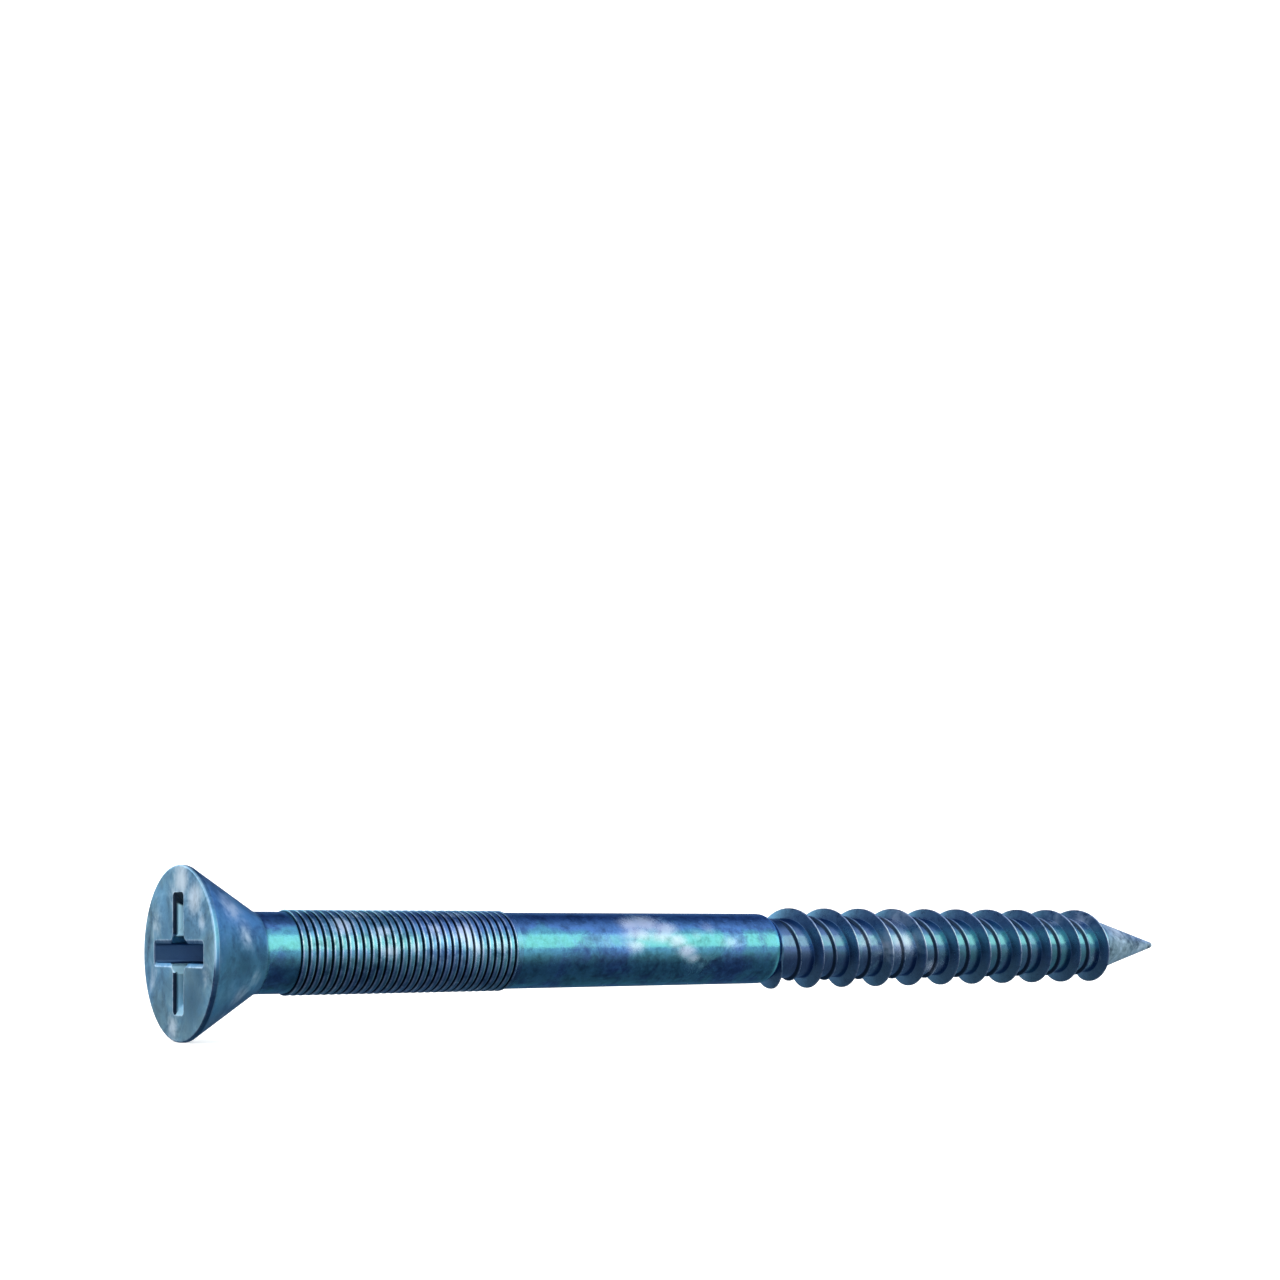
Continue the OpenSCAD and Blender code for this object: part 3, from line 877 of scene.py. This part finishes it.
# -------------------------------------------------------------------- stage
def build_floor():
    """A flat floor that sweeps up all round into a pale backdrop."""
    level = -HEAD_R * MM
    centre = TIP / 2 * MM
    flat, bend, high = 0.75, 0.55, 0.9
    prof = [(0.0, 0.0), (0.05, 0.0), (0.12, 0.0), (0.3, 0.0), (flat, 0.0)]
    for i in range(1, 17):
        t = math.radians(90.0 * i / 16)
        prof.append((flat + bend * math.sin(t), bend - bend * math.cos(t)))
    prof.append((flat + bend, bend + high))
    seg = 96
    verts, faces = [(centre, 0, level)], []
    for r, z in prof[1:]:
        for j in range(seg):
            a = 2 * math.pi * j / seg
            verts.append((centre + r * math.cos(a), r * math.sin(a), level + z))
    for j in range(seg):
        faces.append((0, 1 + j, 1 + (j + 1) % seg))
    for i in range(len(prof) - 2):
        for j in range(seg):
            k = (j + 1) % seg
            b = 1 + i * seg
            faces.append((b + j, b + seg + j, b + seg + k, b + k))
    mesh = bpy.data.meshes.new("studio_floor")
    mesh.from_pydata(verts, [], faces)
    mesh.shade_smooth()
    obj = bpy.data.objects.new("studio_floor", mesh)
    scene.collection.objects.link(obj)
    mat = bpy.data.materials.new("pale_sweep")
    mat.use_nodes = True
    n = Nodes(mat.node_tree)
    bsdf = mat.node_tree.nodes["Principled BSDF"]
    coord = n.put("ShaderNodeTexCoord").outputs["Object"]
    grain = n.noise(coord, 40.0, 3.0)
    n.link(n.mix(grain, (0.90, 0.90, 0.905), (0.93, 0.93, 0.93)), bsdf.inputs["Base Color"])
    bsdf.inputs["Roughness"].default_value = 0.9
    bsdf.inputs["Specular IOR Level"].default_value = 0.0
    bsdf.inputs["Emission Color"].default_value = (1, 1, 1, 1)
    bsdf.inputs["Emission Strength"].default_value = 0.45
    mesh.materials.append(mat)
    obj.visible_glossy = False
    return obj


build_floor()


def build_world():
    """Soft studio surroundings: an even pale light for the camera and for
    matt surfaces, and a soft gradient round the screw's axis for gloss."""
    world = bpy.data.worlds.new("studio")
    scene.world = world
    world.use_nodes = True
    tree = world.node_tree
    tree.nodes.clear()
    n = Nodes(tree)
    out = n.put("ShaderNodeOutputWorld")
    even = n.put("ShaderNodeBackground")
    even.inputs[0].default_value = (0.97, 0.985, 1.0, 1)
    even.inputs[1].default_value = 0.75
    soft = n.put("ShaderNodeBackground")
    direction = n.put("ShaderNodeTexCoord").outputs["Generated"]
    split = n.put("ShaderNodeSeparateXYZ")
    n.link(direction, split.inputs[0])
    x, y, z = split.outputs
    around = n.math("ARCTAN2", z, n.math("MULTIPLY", y, -1.0))     # 0 in front, a quarter turn overhead
    turn = n.math("MULTIPLY_ADD", around, 0.5 / math.pi, 0.5)
    ramp = n.put("ShaderNodeValToRGB")
    ramp.color_ramp.interpolation = "LINEAR"
    stops = [  # degrees round the axis from the front, colour
        (-180, (0.50, 0.57, 0.64)),
        (-152, (0.13, 0.155, 0.21)),
        (-125, (0.105, 0.125, 0.175)),
        (-70, (0.060, 0.075, 0.150)),
        (-44, (0.080, 0.095, 0.180)),
        (-32, (0.16, 0.17, 0.25)),
        (-19, (0.30, 0.31, 0.40)),
        (-6, (0.60, 0.62, 0.84)),
        (5, (0.68, 0.70, 1.05)),
        (12, (0.20, 0.22, 0.32)),
        (42, (0.18, 0.20, 0.28)),
        (53, (0.74, 0.78, 1.10)),
        (76, (0.62, 0.68, 1.00)),
        (92, (0.32, 0.37, 0.58)),
        (112, (0.10, 0.13, 0.27)),
        (132, (0.080, 0.10, 0.22)),
        (148, (1.00, 1.30, 1.45)),
        (168, (1.00, 1.20, 1.30)),
    ]
    els = ramp.color_ramp.elements
    while len(els) < len(stops):
        els.new(0.5)
    for el, (deg, colour) in zip(els, stops):
        el.position = (deg + 180) / 360
    for el, (deg, colour) in zip(els, stops):
        el.position = (deg + 180) / 360
        el.color = (*colour, 1)
    n.link(turn, ramp.inputs[0])
    # behind, the light is on the head's side
    behind = n.math("MULTIPLY", n.step(y, 0.30, 0.62), n.step(x, -0.05, 0.42))
    low = n.step(z, 0.10, -0.25)
    glossy = n.mix(n.math("MULTIPLY", behind, 0.85), ramp.outputs[0], n.mix(low, (0.07, 0.085, 0.18), (0.15, 0.19, 0.23)))
    # near the axis itself: middle tones past the point, dim past the head
    upper = n.step(z, 0.05, 0.36)
    beyond = n.mix(upper, n.mix(low, (0.19, 0.27, 0.40), (0.34, 0.44, 0.48)), (0.52, 0.66, 1.05))
    glossy = n.mix(n.step(x, 0.62, 0.86), glossy, beyond)
    glossy = n.mix(n.step(n.math("MULTIPLY", x, -1.0), 0.70, 0.93), glossy, (0.085, 0.125, 0.26))
    n.link(glossy, soft.inputs[0])
    soft.inputs[1].default_value = 1.0
    path = n.put("ShaderNodeLightPath")
    pick = n.put("ShaderNodeMixShader")
    n.link(path.outputs["Is Glossy Ray"], pick.inputs[0])
    n.link(even.outputs[0], pick.inputs[1])
    n.link(soft.outputs[0], pick.inputs[2])
    n.link(pick.outputs[0], out.inputs[0])


build_world()


def panel(name, place, aim, size_x, size_y, radiance, colour=(1, 1, 1), along=(1, 0, 0), glossy=True, diffuse=True):
    """A soft rectangular light whose long side lies along a direction."""
    data = bpy.data.lights.new(name, "AREA")
    data.shape = "RECTANGLE"
    data.size = size_x
    data.size_y = size_y
    data.energy = radiance * math.pi * size_x * size_y
    data.color = colour
    obj = bpy.data.objects.new(name, data)
    scene.collection.objects.link(obj)
    back = (Vector(place) - Vector(aim)).normalized()
    x = Vector(along)
    x = (x - back * x.dot(back)).normalized()
    y = back.cross(x)
    obj.matrix_world = Matrix.Translation(place) @ Matrix((x, y, back)).transposed().to_4x4()
    obj.visible_camera = False
    obj.visible_glossy = glossy
    obj.visible_diffuse = diffuse
    return obj


mid = Vector((TIP / 2 * MM, 0, 0))
# the long soft box in front, above the camera's side
reach, low, high = 0.36, 8.5, 50.0
half = math.radians((high - low) / 2)
tilt = math.radians((high + low) / 2)
panel("key_panel", (0.33, -reach * math.cos(tilt), reach * math.sin(tilt)), (0.33, 0, 0), 1.10,
      2 * reach * math.tan(half), 1.38, (0.93, 1.0, 0.82))
# soft box behind on the left, for the head's face
panel("back_panel", mid + Vector((-0.30, 0.34, 0.10)), mid * 0.3, 0.34, 0.30, 0.45, (0.90, 0.96, 1.0), along=(1, 1, 0))

scene.view_settings.view_transform = "Standard"
scene.view_settings.look = "None"
